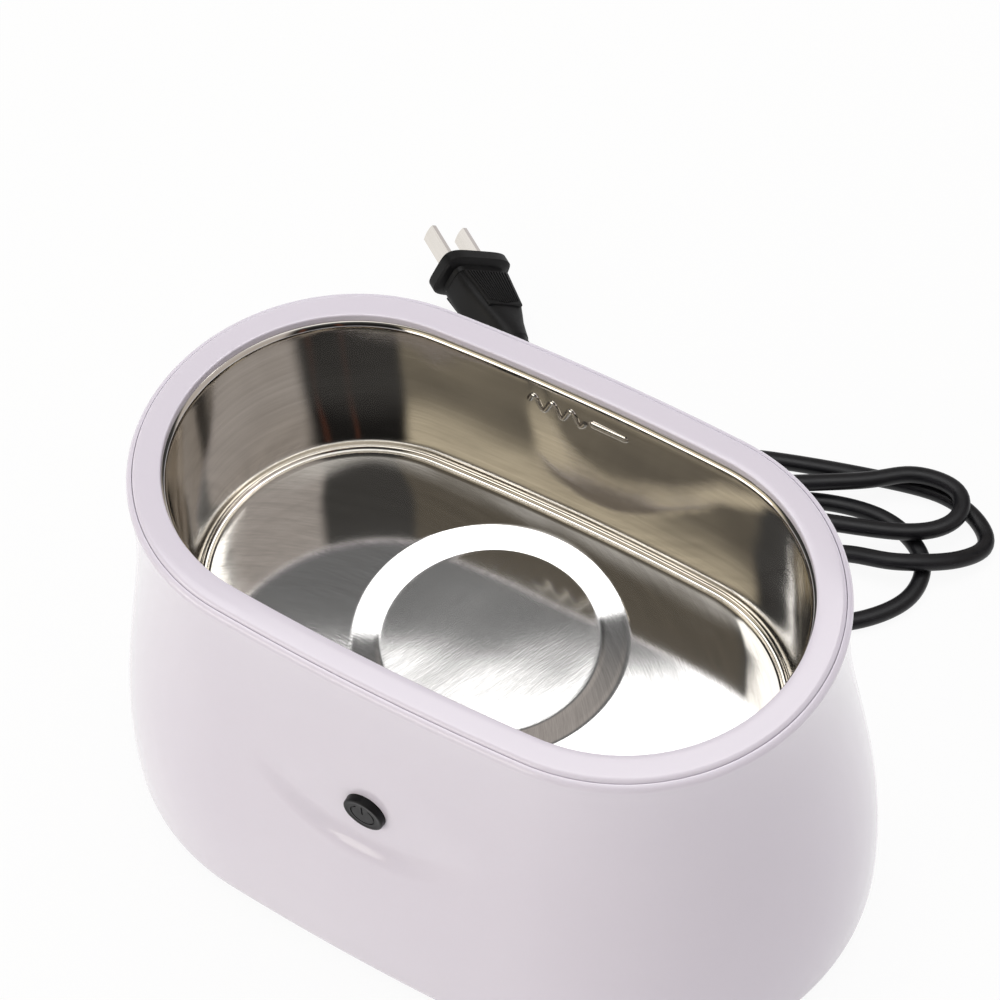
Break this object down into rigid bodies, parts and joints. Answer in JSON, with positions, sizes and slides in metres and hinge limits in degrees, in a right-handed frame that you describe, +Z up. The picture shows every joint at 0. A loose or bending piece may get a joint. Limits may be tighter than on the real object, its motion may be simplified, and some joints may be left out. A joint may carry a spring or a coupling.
{
  "type": "ultrasonic cleaner",
  "caption": "Countertop ultrasonic cleaner: open oval steel tank in a flared glossy housing, front push button, transducer and driver inside, coiled mains lead with plug.",
  "frame": {"origin": "on the table under the middle of the machine, without its mains lead", "axes": "+X along the oval towards its right end seen from the button, +Y towards the back where the lead leaves, +Z up"},
  "size_m": [0.2364, 0.2411, 0.1283],
  "materials": {
    "white_housing": "polished mould finish",
    "white_base": "fine matt texture",
    "tank_steel": "fine brushed, satin",
    "soft_rubber": "matt",
    "screw_steel": "zinc plated",
    "epoxy": "cured adhesive",
    "light_alloy": "turned",
    "ceramic": "fired ceramic",
    "contact_metal": "thin rolled sheet",
    "machined_steel": "turned, oiled",
    "circuit_board": "solder mask",
    "transformer_core": "ferrite with taped windings",
    "component_plastic": "moulded",
    "fuse_glass": "clear with metal ends",
    "black_plastic": "satin",
    "spring_steel": "drawn wire",
    "black_pvc": "satin flexible jacket",
    "lead_insulation": "extruded insulation",
    "plated_blades": "nickel plated, slightly worn"
  },
  "bodies": {
    "machine": {"outer_housing": "white_housing", "top_bezel": "white_housing", "tank": "tank_steel", "tank_gasket": "soft_rubber", "base_plate": "white_base", "rubber_feet": "soft_rubber", "base_screws": "screw_steel", "bond_layer": "epoxy", "transducer_horn": "light_alloy", "piezo_rings": "ceramic", "electrode_tabs": "contact_metal", "back_mass": "machined_steel", "transducer_bolt": "machined_steel", "driver_board": "circuit_board", "board_screws": "screw_steel", "transformer": "transformer_core", "capacitors": "component_plastic", "heat_sink": "light_alloy", "power_transistors": "component_plastic", "fuse": "fuse_glass", "terminal_block": "component_plastic", "output_choke": "component_plastic", "button_spring": "spring_steel", "switch_body": "component_plastic", "switch_board": "circuit_board", "switch_screws": "screw_steel", "strain_relief": "black_pvc", "cord_clamp": "white_base", "clamp_screws": "screw_steel", "mains_leads": "lead_insulation", "switch_leads": "lead_insulation", "transducer_leads": "lead_insulation", "cord_to_coil": "black_pvc", "cord_coil": "black_pvc", "cord_to_plug": "black_pvc", "plug_body": "black_pvc", "plug_blades": "plated_blades"},
    "button": {"button_cap": "black_plastic", "switch_plunger": "black_plastic"}
  },
  "joints": [
    {"name": "button_press", "type": "slide", "parent": "machine", "child": "button", "axis": [0, 1, 0], "range_m": [0, 0.0012], "stiffness_N_per_m": 1500, "springref_m": -0.0004, "deforming": ["button_spring"]}
  ]
}
